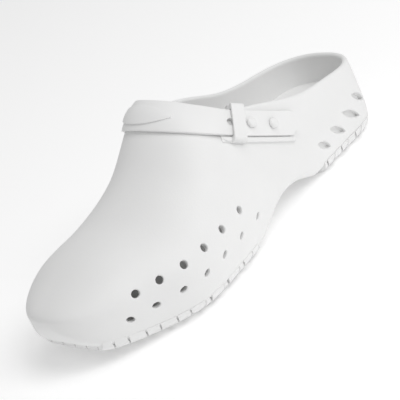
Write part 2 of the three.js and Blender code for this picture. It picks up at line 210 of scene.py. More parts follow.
# Stretches along the shoe, and turns round its section, in which the strap, its seats, the leaf and the
# collar's two ends are looked for
STRAP_SPAN = (60, 200)
PAD_SPAN = (60, 170)
LEAF_SPAN = (100, 190)
STRAP_LOW_TURN = 0.1
PAD_TURNS = (0.05, 1.4)
LEAF_LOW_TURN = 0.3
HEEL_SEARCH = (0.6, 40)
THROAT_SEARCH = (150, 100)

# Stations along the form and spokes round it in each skin
FINE_SKIN = (190, 176)
INSOLE_SKIN = (120, 120)
LINING_SKIN = (110, 96)
BLOCK_SKIN = (90, 80)

OUTER = 1
INNER = -1
FAR = 160
SHARP_ANGLE = math.radians(38)


def column(table, name, at):
    """Smooth value of one column of a table at a share of the length."""
    k = 0
    while k < len(table) - 2 and at > table[k + 1]["at"]:
        k += 1
    last = len(table) - 1

    def slope(a, b):
        return (table[b][name] - table[a][name]) / (table[b]["at"] - table[a]["at"])

    def tangent(i):
        return 0 if i in (0, last) else (slope(i - 1, i) + slope(i, i + 1)) / 2

    span = table[k + 1]["at"] - table[k]["at"]
    t = (at - table[k]["at"]) / span
    return (
        table[k][name] * (2 * t**3 - 3 * t**2 + 1)
        + table[k + 1][name] * (3 * t**2 - 2 * t**3)
        + tangent(k) * span * (t**3 - 2 * t**2 + t)
        + tangent(k + 1) * span * (t**3 - t**2)
    )


def rounded(distance, radius, bluntness=2):
    """Share of the full size that is left at a distance from a rounded end."""
    if distance >= radius:
        return 1
    return (1 - (1 - max(distance, 0) / radius) ** bluntness) ** (1 / bluntness)


def smoothstep(value, low, high):
    t = min(max((value - low) / (high - low), 0), 1)
    return t * t * (3 - 2 * t)


def ground_at(x):
    s = x / LENGTH
    return TOE_SPRING * ((s - BALL_FRONT) / (1 - BALL_FRONT)) ** 2 if s > BALL_FRONT else 0


def base_at(x):
    s = x / LENGTH
    arch = 0
    if ARCH_REAR < s < ARCH_FRONT:
        arch = ARCH_RISE * math.sin(math.pi * (s - ARCH_REAR) / (ARCH_FRONT - ARCH_REAR)) ** ARCH_BOW
    return ground_at(x) + max(LUG_DEPTH, arch)


def seam_at(x):
    return base_at(x) + RIM_HEIGHT


def footbed_at(x):
    t = smoothstep(x / LENGTH, ARCH_REAR, FOOTBED_LOW)
    return ground_at(x) + FOOTBED_HEEL + (FOOTBED_BALL - FOOTBED_HEEL) * t


@lru_cache(maxsize=None)
def section_at(x):
    """Half widths, heights and roundings of the form's section at x."""
    s = min(max(x / LENGTH, 0), 1)
    plan = rounded(x, HEEL_ROUND, HEEL_BLUNTNESS) * rounded(LENGTH - x, TOE_ROUND, TOE_BLUNTNESS)
    crown = rounded(x, HEEL_CROWN_ROUND) * rounded(LENGTH - x, TOE_CROWN_ROUND, TOE_CROWN_BLUNTNESS)
    low = rounded(x, HEEL_UNDER_ROUND) * rounded(LENGTH - x, TOE_UNDER_ROUND)
    widest = column(SECTIONS, "widest", s) * BULGE_HEIGHT + ground_at(x)
    return dict(
        widest=widest,
        crest=widest + (column(SECTIONS, "crest", s) * INSTEP_HEIGHT - widest) * crown,
        base=widest - (widest - base_at(x)) * low,
        outer=column(SECTIONS, "outer", s) * BALL_WIDTH * plan,
        inner=column(SECTIONS, "inner", s) * BALL_WIDTH * plan,
        centre=column(SECTIONS, "centre", s) * BALL_WIDTH,
        lean=column(SECTIONS, "ridge", s) * BALL_WIDTH * plan,
        crown=column(SECTIONS, "crown", s),
    )


def form_point(x, turn):
    """Point of the form at x and at a turn round its section: 0 is outer, a quarter turn is up."""
    m = section_at(x)
    side, rise = math.cos(turn), math.sin(turn)
    power = m["crown"] if rise > 0 else SOLE_CORNER
    reach = (abs(side) ** power + abs(rise) ** power) ** (-1 / power)
    half = m["outer"] if side > 0 else m["inner"]
    up = rise * reach
    height = m["crest"] - m["widest"] if rise > 0 else m["widest"] - m["base"]
    lean = m["lean"] * up * up if rise > 0 else 0
    return Vector((x, m["centre"] + side * reach * half + lean, m["widest"] + height * up))


def form_normal(x, turn, step=0.3, twist=0.01):
    along = form_point(min(x + step, LENGTH), turn) - form_point(max(x - step, 0), turn)
    around = form_point(x, turn + twist) - form_point(x, turn - twist)
    return around.cross(along).normalized()


def over_form(x, turn, height):
    return form_point(x, turn) + form_normal(x, turn) * height


def turn_at_height(x, z, side):
    """Turn at which the wall on one side has a height."""
    m = section_at(x)
    if z > m["widest"]:
        share, power = (z - m["widest"]) / (m["crest"] - m["widest"]), m["crown"]
    else:
        share, power = (m["widest"] - z) / (m["widest"] - m["base"]), SOLE_CORNER
    share = min(share, 1)
    turn = math.atan2(share, (1 - share**power) ** (1 / power))
    turn = turn if z > m["widest"] else -turn
    return turn if side == OUTER else math.pi - turn


def wall_place(x, z, side):
    """Point and outward normal of the wall at a place in the side view."""
    turn = turn_at_height(x, z, side)
    return form_point(x, turn), form_normal(x, turn)


@lru_cache(maxsize=None)
def ring_turns(x, samples=120):
    """Turns round a section and the share of its girth at each."""
    turns = [-math.pi / 2 + 2 * math.pi * i / samples for i in range(samples + 1)]
    points = [form_point(x, t) for t in turns]
    lengths = [0]
    for a, b in zip(points, points[1:]):
        lengths.append(lengths[-1] + (b - a).length)
    whole = lengths[-1] or 1
    return turns, [part / whole for part in lengths]


def turn_at_share(x, share):
    turns, shares = ring_turns(x)
    if shares[-1] == 0:
        return turns[0]
    low, high = 0, len(shares) - 1
    while high - low > 1:
        middle = (low + high) // 2
        low, high = (middle, high) if shares[middle] <= share else (low, middle)
    t = (share - shares[low]) / (shares[high] - shares[low] or 1)
    return turns[low] + (turns[high] - turns[low]) * t


# Meshes and joins


def new_object(name, bm, outward=True):
    """Object of a finished mesh, with its faces turned outward unless it is a shell with a lining."""
    if outward:
        bmesh.ops.recalc_face_normals(bm, faces=bm.faces)
    mesh = bpy.data.meshes.new(name)
    bm.to_mesh(mesh)
    bm.free()
    piece = bpy.data.objects.new(name, mesh)
    bpy.context.scene.collection.objects.link(piece)
    return piece


def combine(piece, tool, operation):
    """Joins a tool to a piece or cuts it away, and removes the tool."""
    modifier = piece.modifiers.new(operation, "BOOLEAN")
    modifier.operation = operation
    modifier.solver = "MANIFOLD"
    modifier.object = tool
    depsgraph = bpy.context.evaluated_depsgraph_get()
    mesh = bpy.data.meshes.new_from_object(piece.evaluated_get(depsgraph))
    piece.modifiers.clear()
    piece.data = mesh
    bpy.data.objects.remove(tool)


def new_ones(made, kind):
    return [g for g in made["geom"] if isinstance(g, kind)]


def in_order(found):
    """Each element once, in the order it was found, so that every run builds the same mesh."""
    return list(dict.fromkeys(found))


def skin_mesh(inset, stations, spokes):
    """Closed skin of the form, moved inwards along its normals."""
    bm = bmesh.new()
    bmesh.ops.create_grid(bm, x_segments=stations, y_segments=spokes, size=1)
    for v in bm.verts:
        x = LENGTH / 2 * (1 - math.cos(math.pi * (v.co.x + 1) / 2))
        v.co = form_point(x, turn_at_share(x, (v.co.y + 1) / 2))
    bmesh.ops.remove_doubles(bm, verts=bm.verts, dist=1e-4)
    bmesh.ops.recalc_face_normals(bm, faces=bm.faces)
    bm.normal_update()
    moves = [(v, v.co - v.normal * inset) for v in bm.verts]
    for v, place in moves:
        v.co = place
    return bm


def sheet_block(height, far, across=1, steps=160, past_ends=0.55):
    """Closed block between a sheet over the whole shoe and a far level."""
    bm = bmesh.new()
    bmesh.ops.create_grid(bm, x_segments=steps, y_segments=across, size=1)
    for v in bm.verts:
        x = LENGTH * (0.5 + past_ends * v.co.x)
        y = BALL_WIDTH * v.co.y
        v.co = (x, y, height(x, y))
    made = bmesh.ops.extrude_face_region(bm, geom=bm.faces[:])
    for v in new_ones(made, bmesh.types.BMVert):
        v.co.z = far
    return bm


def stack_loops(bm, count, rows, place):
    """Adds a closed solid with one loop for each row, where place(k, row) gives a point."""
    index = bm.verts.layers.int.get("place") or bm.verts.layers.int.new("place")
    verts = bmesh.ops.create_circle(bm, segments=count, radius=1)["verts"]
    for v in verts:
        v[index] = round(math.atan2(v.co.y, v.co.x) / (2 * math.pi) * count) % count
    edges = in_order(e for v in verts for e in v.link_edges)
    first = edges
    for n, row in enumerate(rows):
        if n:
            made = bmesh.ops.extrude_edge_only(bm, edges=edges)
            verts = new_ones(made, bmesh.types.BMVert)
            fresh = set(verts)
            edges = [e for e in new_ones(made, bmesh.types.BMEdge) if fresh.issuperset(e.verts)]
        for v in verts:
            v.co = place(v[index], row)
    caps = bmesh.ops.edgeloop_fill(bm, edges=first)["faces"]
    caps += bmesh.ops.edgeloop_fill(bm, edges=edges)["faces"]
    return caps


def flare(radius, depth, steps=4):
    """Rows of a hole's cutter: height over the wall and spread, with a rounded mouth."""
    arc = [(radius * (math.sin(a) - 1), radius * (1 - math.cos(a)))
           for a in (math.pi / 2 * i / steps for i in range(steps + 1))]
    return [(-depth, 0), *arc, (depth, radius)]


# Lines of the strap, as places in the side view


def strap_samples(steps=24):
    points = [Vector((a * LENGTH, h * INSTEP_HEIGHT)) for a, h in STRAP_PATH]
    last = len(points) - 1
    samples = []
    for i in range(last):
        before, after = points[max(i - 1, 0)], points[min(i + 2, last)]
        a, b = points[i], points[i + 1]
        leave, arrive = (b - before) / 2, (after - a) / 2
        for k in range(steps + (i == last - 1)):
            t = k / steps
            samples.append((2 * a - 2 * b + leave + arrive) * t**3
                           + (3 * b - 3 * a - 2 * leave - arrive) * t**2 + leave * t + a)
    return samples


STRAP_LINE = strap_samples()
STRAP_RUNS = [0]
for here, there in zip(STRAP_LINE, STRAP_LINE[1:]):
    STRAP_RUNS.append(STRAP_RUNS[-1] + (there - here).length)
STRAP_RUN = STRAP_RUNS[-1]
CREST_DISTANCE = STRAP_RUN * CREST_SHARE
STRAP_UNDER = PAD_RISE + GAP
STRAP_TOP = STRAP_UNDER + STRAP_THICKNESS
FRONT_HOLE = TAIL_TO_HOLE + HOLE_PITCH
INNER_HOLE = INNER_TAB_START + INNER_TAB_HOLE
KEEPER_DISTANCE = FRONT_HOLE + BUTTON_RADIUS + KEEPER_CLEARANCE + KEEPER_WIDTH / 2
FREE_HOLE = KEEPER_DISTANCE + KEEPER_WIDTH / 2 + HOLE_PAST_KEEPER


def strap_segment(distance):
    k = 0
    while k < len(STRAP_RUNS) - 2 and distance > STRAP_RUNS[k + 1]:
        k += 1
    return k


def strap_point(distance, offset=0):
    """Side-view point at a distance along the strap's line and an offset above it."""
    k = strap_segment(distance)
    tangent = (STRAP_LINE[k + 1] - STRAP_LINE[k]).normalized()
    point = STRAP_LINE[k] + tangent * (distance - STRAP_RUNS[k])
    return point + Vector((-tangent.y, tangent.x)) * offset


def strap_place(x, z):
    """Distance along the strap's line and offset above it of a side-view point."""
    point = Vector((x, z))
    k = min(range(len(STRAP_LINE) - 1), key=lambda i: (point - STRAP_LINE[i]).length_squared)
    tangent = (STRAP_LINE[k + 1] - STRAP_LINE[k]).normalized()
    out = point - STRAP_LINE[k]
    return STRAP_RUNS[k] + out.dot(tangent), out.dot(Vector((-tangent.y, tangent.x)))


def strap_half(distance):
    t = smoothstep(distance, KEEPER_DISTANCE, CREST_DISTANCE)
    return (STRAP_TAIL_WIDTH + (STRAP_CREST_WIDTH - STRAP_TAIL_WIDTH) * t) / 2


KEEPER_REACH = strap_half(KEEPER_DISTANCE + KEEPER_WIDTH) + GAP + KEEPER_LEG


def band(start, end, below, above):
    """Test for a side-view point in the strap's band with a round end, widened by two margins."""
    radius = strap_half(start) + (below + above) / 2
    shift = (above - below) / 2

    def outside(point):
        distance, offset = strap_place(point.x, point.z)
        if distance < start + radius:
            return math.hypot(start + radius - distance, offset - shift) - radius
        half = strap_half(distance)
        return max(offset - half - above, -offset - half - below, distance - end)

    return outside


def leaf_outline(point):
    """Test for a point in the pointed leaf over the instep."""
    middle = strap_point(CREST_DISTANCE)
    ridge = column(SECTIONS, "ridge", middle.x / LENGTH) * BALL_WIDTH
    along = point.y - ridge
    slant = math.radians(LEAF_SLANT)
    across = (point.x - middle.x) * math.cos(slant) - (point.z - middle.y) * math.sin(slant)
    half, bow = LEAF_LENGTH / 2, LEAF_WIDTH / 2
    radius = (half**2 + bow**2) / (2 * bow)
    return abs(across) + radius - bow - math.sqrt(max(radius**2 - along**2, 0))


def find_rows(outside, turns, span, least, steps=60, halvings=14):
    """Rows (turn, first x, last x) where the form lies inside a test, at least so wide."""
    from_x, to_x = span
    rows = []
    for turn in turns:
        places = [from_x + (to_x - from_x) * i / steps for i in range(steps + 1)]
        inside = [x for x in places if outside(form_point(x, turn)) < 0]
        if not inside:
            continue
        ends = []
        for start, way in ((inside[0], -1), (inside[-1], 1)):
            near, far = start, start + way * (to_x - from_x) / steps
            for _ in range(halvings):
                middle = (near + far) / 2
                near, far = (middle, far) if outside(form_point(middle, turn)) < 0 else (near, middle)
            ends.append(near)
        if ends[1] - ends[0] >= least:
            rows.append((turn, ends[0], ends[1]))
    return rows


def round_edges(bm, edges, radius):
    bmesh.ops.bevel(bm, geom=edges, offset=radius, offset_type="OFFSET", affect="EDGES",
                    segments=3, profile=0.5, material=-1, clamp_overlap=True)


def strap_sink(x, turn):
    """How far the strap lies lower past its seats, where it rests on the shell itself."""
    point = form_point(x, turn)
    return PAD_RISE * smoothstep(strap_place(point.x, point.z)[0], PAD_LENGTH, PAD_LENGTH + SINK_RUN)


def raised_strip(bm, rows, low, high, edge_round, columns, dome=0, sink=None, steepest=math.radians(50)):
    """Adds a strip that follows the form between two heights, with rounded top edges.

    Its top falls by the dome towards its sides and ends, and all of it by sink(x, turn)."""
    def settled(v, height):
        return over_form(v[along], v[around], height - (sink(v[along], v[around]) if sink else 0))

    along = bm.verts.layers.float.get("along") or bm.verts.layers.float.new("along")
    around = bm.verts.layers.float.get("around") or bm.verts.layers.float.new("around")
    made = bmesh.ops.create_grid(bm, x_segments=columns, y_segments=len(rows) - 1, size=1)
    verts = made["verts"]
    for v in verts:
        turn, first, last = rows[round((v.co.y + 1) / 2 * (len(rows) - 1))]
        v[along] = first + (last - first) * (v.co.x + 1) / 2
        v[around] = turn
        v.co = settled(v, low)
    faces = in_order(f for v in verts for f in v.link_faces)
    out = bmesh.ops.extrude_face_region(bm, geom=faces)
    tops = new_ones(out, bmesh.types.BMVert)
    for v in tops:
        turn, first, last = min(rows, key=lambda row: abs(row[0] - v[around]))
        aside = (2 * v[along] - first - last) / (last - first)
        ahead = (2 * turn - rows[0][0] - rows[-1][0]) / (rows[-1][0] - rows[0][0])
        fall = dome * min(aside**2 + ahead**4, 1)
        v.co = settled(v, high - fall)
    everything = in_order(f for v in [*verts, *tops] for f in v.link_faces)
    bmesh.ops.recalc_face_normals(bm, faces=everything)
    top = set(tops)
    rims = in_order(e for v in tops for e in v.link_edges if top.issuperset(e.verts))
    rims = [e for e in rims if len(e.link_faces) == 2 and e.calc_face_angle() > steepest]
    round_edges(bm, rims, edge_round)


# Cutters


def vent_cutters():
    bm = bmesh.new()
    for row in VENT_ROWS:
        for i in range(row["count"]):
            t = i / (row["count"] - 1)
            at = row["first"] + (row["last"] - row["first"]) * (t + row["bow"] * t * (1 - t))
            narrow = row["rear_narrow"] + (row["front_narrow"] - row["rear_narrow"]) * t
            turned = (row["front_lean"] - row["rear_lean"]) * t**VENT_LEAN_POWER
            lean = math.radians(row["rear_lean"] + turned)
            hole_cutter(bm, at * LENGTH, row["height"] * BULGE_HEIGHT, OUTER, VENT_RADIUS, VENT_REACH,
                        HOLE_ROUND, narrow=narrow, lean=lean)
    return new_object("vent_cutters", bm)


def hole_cutter(bm, x, z, side, radius, depth, mouth, lift=0, narrow=1, lean=0, count=28):
    """Cutter square to the wall, with a rounded mouth at a lift over the form.

    An oval hole is longest at an angle lean below the shoe's length and narrower across by a share."""
    centre, outward = wall_place(x, z, side)
    down = outward.cross(Vector((1, 0, 0))).normalized()
    ahead = down.cross(outward)
    first = ahead * math.cos(lean) + down * math.sin(lean)
    second = (down * math.cos(lean) - ahead * math.sin(lean)) * narrow

    def place(k, row):
        turn = 2 * math.pi * k / count
        spoke = first * math.cos(turn) + second * math.sin(turn)
        spot = centre + spoke * (radius + row[1])
        snapped = wall_place(spot.x, spot.z, side)[0]
        drop = (snapped - spot).dot(outward)
        return spot + outward * (drop + lift + row[0])

    stack_loops(bm, count, flare(mouth, depth), place)


def slot_cutters(count=40):
    bm = bmesh.new()
    slant = math.radians(SLOT_SLANT)
    for slot in SLOTS:
        for side in (OUTER, INNER):
            x, z = slot["at"] * LENGTH, slot["height"] * BULGE_HEIGHT
            long, short = slot["long"] * SLOT_LENGTH / 2, SLOT_WIDTH / 2
            outward = wall_place(x, z, side)[1]

            def place(k, row, x=x, z=z, long=long, short=short, side=side, outward=outward):
                turn = 2 * math.pi * k / count
                a = (long + row[1]) * math.cos(turn)
                b = (short + row[1]) * math.sin(turn) * abs(math.sin(turn)) ** SLOT_POINT
                if b < 0:
                    b *= 1 - SLOT_SLOPE * max(-row[0] / SLOT_DEPTH, 0)
                px = x + a * math.cos(slant) - b * math.sin(slant)
                pz = z + a * math.sin(slant) + b * math.cos(slant)
                return wall_place(px, pz, side)[0] + outward * row[0]

            stack_loops(bm, count, flare(HOLE_ROUND, SLOT_DEPTH), place)
    return new_object("slot_cutters", bm)


def top_edge(side, x, halvings=24):
    """Turn at which the middle of the wall on one side reaches the top line."""
    name = "outer" if side == OUTER else "inner"
    low, high = 0, math.pi / 2
    for _ in range(halvings):
        middle = (low + high) / 2
        point = over_form(x, middle if side == OUTER else math.pi - middle, -WALL / 2)
        below = point.z < column(TOP_LINE, name, point.x / LENGTH) * INSTEP_HEIGHT
        low, high = (middle, high) if below else (low, middle)
    return high if side == OUTER else math.pi - high


def collar_end(near, far, halvings=24):
    """x at which the form's crest reaches the top line, between a place below it and one above."""
    for _ in range(halvings):
        middle = (near + far) / 2
        point = over_form(middle, math.pi / 2, -WALL / 2)
        below = point.z < column(TOP_LINE, "outer", point.x / LENGTH) * INSTEP_HEIGHT
        near, far = (middle, far) if below else (near, middle)
    return far


def collar_cutter(half=110):
    """Plug that opens the collar square to the wall and leaves its edge rounded."""
    heel, throat = collar_end(*HEEL_SEARCH), collar_end(*THROAT_SEARCH)
    rim = []
    for i in range(2 * half):
        side = OUTER if i <= half else INNER
        share = i / half if i <= half else 2 - i / half
        x = heel + (throat - heel) * (1 - math.cos(math.pi * share)) / 2
        turn = math.pi / 2 if i in (0, half) else top_edge(side, x)
        rim.append((over_form(x, turn, -WALL / 2), form_normal(x, turn)))
    spreads = []
    for i, (point, normal) in enumerate(rim):
        edge = rim[(i + 1) % len(rim)][0] - rim[i - 1][0]
        spreads.append(edge.cross(normal).normalized())
    if spreads[half // 2].z > 0:
        spreads = [-s for s in spreads]
    radius = WALL / 2
    arc = [(radius * math.sin(a), radius * (1 - math.cos(a)))
           for a in (math.pi * (i / 10 - 0.5) for i in range(11))]
    rows = [(-2 * WALL, radius), *arc, (2 * WALL, radius), (None, radius)]

    def place(k, row):
        point, normal = rim[k]
        if row[0] is None:
            outside = point + normal * 2 * WALL + spreads[k] * row[1]
            return Vector((outside.x, outside.y, FAR))
        return point + normal * row[0] + spreads[k] * row[1]

    bm = bmesh.new()
    stack_loops(bm, len(rim), rows, place)
    return new_object("collar_cutter", bm)


def evenly(first, last, count):
    return [first + (last - first) * i / count for i in range(count + 1)]


# Pieces


def strap_pads():
    """Raised seats under the strap, the long one outside and the short one inside."""
    bm = bmesh.new()
    outer = band(-PAD_END, PAD_LENGTH, PAD_MARGIN, -PAD_INSET)
    outer_rows = find_rows(outer, evenly(*PAD_TURNS, 110), PAD_SPAN, least=3)
    raised_strip(bm, outer_rows, -PAD_FOOT, PAD_RISE, PAD_ROUND, columns=40)
    start = INNER_TAB_START - INNER_PAD_MARGIN
    inner = band(start, start + INNER_PAD_LENGTH, INNER_PAD_MARGIN, -PAD_INSET)
    turns = [math.pi - turn for turn in evenly(*PAD_TURNS, 110)]
    raised_strip(bm, find_rows(inner, turns, PAD_SPAN, least=3), -PAD_FOOT, PAD_RISE, PAD_ROUND, columns=24)
    return new_object("strap_pads", bm)


def follow_strap(bm, distances, outline, lean=0):
    """Adds a solid swept along the strap on the outer wall, leaning back with its offset.

    outline(distance) gives the section as offsets across the strap and heights over the wall."""
    def place(k, distance):
        offset, height = outline(distance)[k]
        spot = strap_point(distance - offset * math.tan(math.radians(lean)), offset)
        point, outward = wall_place(spot.x, spot.y, OUTER)
        return point + outward * height

    return stack_loops(bm, len(outline(distances[0])), distances, place)


def round_top(start, end, low, high, radius, steps=5):
    """Section from one offset to another with a flat foot and round shoulders."""
    outline = [(start, low)]
    for i in range(steps + 1):
        turn = math.pi / 2 * i / steps
        outline.append((start + radius * (1 - math.cos(turn)), high - radius * (1 - math.sin(turn))))
    for i in range(steps + 1):
        turn = math.pi / 2 * (1 - i / steps)
        outline.append((end - radius * (1 - math.cos(turn)), high - radius * (1 - math.sin(turn))))
    return [*outline, (end, low)]


def lip_section(distance):
    """Section of the pad's lip, which is drawn in at both ends."""
    inward = min(distance - LIP_START + LIP_LEAD, PAD_LENGTH - distance)
    share = rounded(inward, LIP_END_ROUND)
    inside = -strap_half(distance) - LIP_GROOVE
    width = (PAD_MARGIN - LIP_GROOVE) * max(share, LIP_END_WIDTH)
    rise = LIP_RISE * max(share, LIP_END_RISE)
    return round_top(inside - width, inside, -PAD_FOOT, rise, LIP_ROUND * max(share, LIP_END_SHOULDER))


def pad_lip():
    """Lip of the long pad, which stands beside the strap's lower edge."""
    bm = bmesh.new()
    shares = [(1 - math.cos(math.pi * t)) / 2 for t in evenly(0, 1, 40)]
    follow_strap(bm, [LIP_START + (PAD_LENGTH - LIP_START) * share for share in shares], lip_section)
    return new_object("pad_lip", bm)


def seat_section(distance):
    """Section of the keeper's seat, which is the same all along."""
    reach = KEEPER_REACH + GAP
    return round_top(-reach, reach, -WALL, PAD_RISE, KEEPER_SEAT_ROUND)


def keeper_section(distance):
    """Section of the keeper, which is the same all along."""
    under, inside = STRAP_TOP + GAP, KEEPER_REACH - KEEPER_LEG
    over = under + KEEPER_THICKNESS
    outside = round_top(-KEEPER_REACH, KEEPER_REACH, STRAP_UNDER, over, KEEPER_SHOULDER)
    hollow = [(offset, under) for offset in evenly(inside, -inside, 8)]
    return [*outside, (inside, STRAP_UNDER), *hollow, (-inside, STRAP_UNDER)]


def at_keeper(name, section, margin):
    """Solid swept along the strap at the keeper's place, with rounded ends."""
    bm = bmesh.new()
    half = KEEPER_WIDTH / 2 + margin
    distances = evenly(KEEPER_DISTANCE - half, KEEPER_DISTANCE + half, 8)
    caps = follow_strap(bm, distances, section, KEEPER_LEAN)
    bmesh.ops.recalc_face_normals(bm, faces=bm.faces)
    round_edges(bm, [e for face in caps for e in face.edges], KEEPER_END_ROUND)
    return new_object(name, bm)


def upper_shell():
    bm = skin_mesh(0, *FINE_SKIN)
    inner = skin_mesh(WALL, *LINING_SKIN)
    bmesh.ops.reverse_faces(inner, faces=inner.faces)
    lining = bpy.data.meshes.new("lining")
    inner.to_mesh(lining)
    inner.free()
    bm.from_mesh(lining)
    shell = new_object("upper_shell", bm, outward=False)
    combine(shell, new_object("seam", sheet_block(lambda x, y: seam_at(x), -FAR)), "DIFFERENCE")
    combine(shell, collar_cutter(), "DIFFERENCE")
    combine(shell, at_keeper("keeper_seat", seat_section, KEEPER_SEAT_MARGIN), "UNION")
    combine(shell, strap_pads(), "UNION")
    combine(shell, pad_lip(), "UNION")
    combine(shell, vent_cutters(), "DIFFERENCE")
    combine(shell, slot_cutters(), "DIFFERENCE")
    return shell


def tread_edge(x, side):
    m = section_at(x)
    return m["centre"] + (m["outer"] if side > 0 else -m["inner"]) * TREAD_WIDTH


def tread_block(start, end, steps=80):
    """Closed block over one field of the tread, between two places along the sole."""
    bm = bmesh.new()
    bmesh.ops.create_grid(bm, x_segments=steps, y_segments=1, size=1)
    for v in bm.verts:
        x = LENGTH * (start + (end - start) * (1 - math.cos(math.pi * (v.co.x + 1) / 2)) / 2)
        v.co = (x, tread_edge(x, v.co.y), -FAR)
    made = bmesh.ops.extrude_face_region(bm, geom=bm.faces[:])
    for v in new_ones(made, bmesh.types.BMVert):
        v.co.z = FAR
    return new_object("tread_block", bm)


def in_tread(x, y):
    s = x / LENGTH
    in_field = TREAD_HEEL_START < s < ARCH_REAR - ARCH_MARGIN or ARCH_FRONT < s < TREAD_TOE_END
    return in_field and tread_edge(x, -1) < y < tread_edge(x, 1)


def kept_share(x, y, outline):
    spots = [(x + px * k / 3, y + py * k / 3) for px, py in outline for k in (1, 2, 3)]
    return sum(in_tread(*spot) for spot in spots) / len(spots)


def tread_form():
    """The form with its underside stretched down to the ground, which ends the lugs."""
    bm = skin_mesh(TREAD_INSET, *FINE_SKIN)
    for v in bm.verts:
        widest, x = section_at(v.co.x)["widest"], v.co.x
        if v.co.z < widest:
            stretch = (widest - ground_at(x)) / (widest - base_at(x) - TREAD_INSET)
            v.co.z = widest - (widest - v.co.z) * stretch
    return new_object("tread_form", bm)


def add_lug(bm, x, y, outline, rows):
    """Adds a lug, whose root reaches up into the sole."""
    def place(k, row):
        px, py = outline[k][0] * row[1], outline[k][1] * row[1]
        lift = row[0] if row[0] < LUG_DEPTH else base_at(x + px) - ground_at(x + px) + LUG_ROOT
        return Vector((x + px, y + py, ground_at(x + px) + lift))

    stack_loops(bm, len(outline), rows, place)


def soft_corners(corners, cut):
    """Outline with each corner cut off by a share of its sides."""
    outline = []
    for i, corner in enumerate(corners):
        for other in (corners[i - 1], corners[(i + 1) % len(corners)]):
            outline.append(tuple(a + (b - a) * cut for a, b in zip(corner, other)))
    return outline


def tread_lugs():
    """Hexagonal lugs in columns, with lozenges in the spaces between the columns."""
    bm = bmesh.new()
    pitch = LUG_WIDTH + GROOVE_WIDTH
    corner = LUG_WIDTH / math.sqrt(3)
    hexagon = soft_corners([(corner * math.cos(math.pi * i / 3), corner * math.sin(math.pi * i / 3))
                            for i in range(6)], HEXAGON_CUT)
    tip = LUG_COLUMN_PITCH / 2 - corner / 2 - GROOVE_WIDTH
    neck = LUG_COLUMN_PITCH / 2 - corner - GROOVE_WIDTH
    half = pitch / 2 - GROOVE_WIDTH / 2
    corners = [(tip, 0), (neck, half), (-neck, half), (-tip, 0), (-neck, -half), (neck, -half)]
    lozenge = soft_corners(corners, LOZENGE_CUT)
    for i in range(math.ceil(LENGTH / LUG_COLUMN_PITCH)):
        for j in range(-LUGS_ASIDE, LUGS_ASIDE + 1):
            x, y = (i + 0.5) * LUG_COLUMN_PITCH, j * pitch
            if kept_share(x, y, hexagon) > SMALLEST_LUG:
                add_lug(bm, x, y, hexagon, LUG_EDGE + LUG_DIMPLE)
            x, y = x + LUG_COLUMN_PITCH / 2, y + pitch / 2
            if kept_share(x, y, lozenge) > SMALLEST_LUG:
                add_lug(bm, x, y, lozenge, LUG_EDGE)
    lugs = new_object("tread_lugs", bm)
    fields = tread_block(TREAD_HEEL_START, ARCH_REAR - ARCH_MARGIN)
    combine(fields, tread_block(ARCH_FRONT, TREAD_TOE_END), "UNION")
    combine(lugs, fields, "INTERSECT")
    combine(lugs, tread_form(), "INTERSECT")
    return lugs


def sole_unit():
    sole = new_object("sole_unit", skin_mesh(0, *FINE_SKIN))
    combine(sole, new_object("seam", sheet_block(lambda x, y: seam_at(x), FAR)), "DIFFERENCE")
    block = new_object("footbed_block", skin_mesh(WALL + GAP, *BLOCK_SKIN))
    combine(block, new_object("footbed", sheet_block(lambda x, y: footbed_at(x), FAR)), "DIFFERENCE")
    combine(sole, block, "UNION")
    combine(sole, tread_lugs(), "UNION")
    return sole


def insole_height(x, y):
    """Top of the insole, lowest along its middle."""
    m = section_at(min(max(x, 1), LENGTH - 1))
    half = max((m["outer"] + m["inner"]) / 2, 1)
    dish = min(((y - m["centre"]) / half) ** 4, 1) - 1
    return footbed_at(x) + GAP + INSOLE_THICKNESS + INSOLE_DISH * dish


def foot_insole():
    insole = new_object("foot_insole", skin_mesh(WALL - GAP / 2, *INSOLE_SKIN))
    under = sheet_block(lambda x, y: footbed_at(x) + GAP, -FAR)
    combine(insole, new_object("under", under), "DIFFERENCE")
    combine(insole, new_object("over", sheet_block(insole_height, FAR, across=60)), "DIFFERENCE")
    return insole


def instep_strap():
    bm = bmesh.new()
    over = STRAP_RUN + STRAP_CREST_WIDTH
    outer_turns = evenly(STRAP_LOW_TURN, math.pi / 2, 130)
    inner_turns = evenly(math.pi / 2, math.pi - STRAP_LOW_TURN, 130)[1:]
    rows = find_rows(band(0, over, 0, 0), outer_turns, STRAP_SPAN, least=4)
    rows += find_rows(band(INNER_TAB_START, over, 0, 0), inner_turns, STRAP_SPAN, least=4)
    raised_strip(bm, rows, STRAP_UNDER, STRAP_TOP, STRAP_ROUND, columns=14,
                 dome=STRAP_CROWN, sink=strap_sink)
    strap = new_object("instep_strap", bm)
    bm = bmesh.new()
    leaf = find_rows(leaf_outline, evenly(LEAF_LOW_TURN, math.pi - LEAF_LOW_TURN, 260), LEAF_SPAN, least=0.8)
    raised_strip(bm, leaf, STRAP_TOP - LEAF_FOOT, STRAP_TOP + LEAF_RISE, LEAF_ROUND, columns=12,
                 dome=LEAF_RISE - LEAF_EDGE, sink=strap_sink)
    combine(strap, new_object("leaf", bm), "UNION")
    bm = bmesh.new()
    holes = [(TAIL_TO_HOLE, OUTER), (FRONT_HOLE, OUTER), (FREE_HOLE, OUTER), (INNER_HOLE, INNER)]
    for distance, side in holes:
        spot = strap_point(distance)
        hole_cutter(bm, spot.x, spot.y, side, STEM_RADIUS + GAP, 3 * STRAP_TOP, STRAP_HOLE_ROUND, STRAP_TOP)
    combine(strap, new_object("strap_holes", bm), "DIFFERENCE")
    return strap


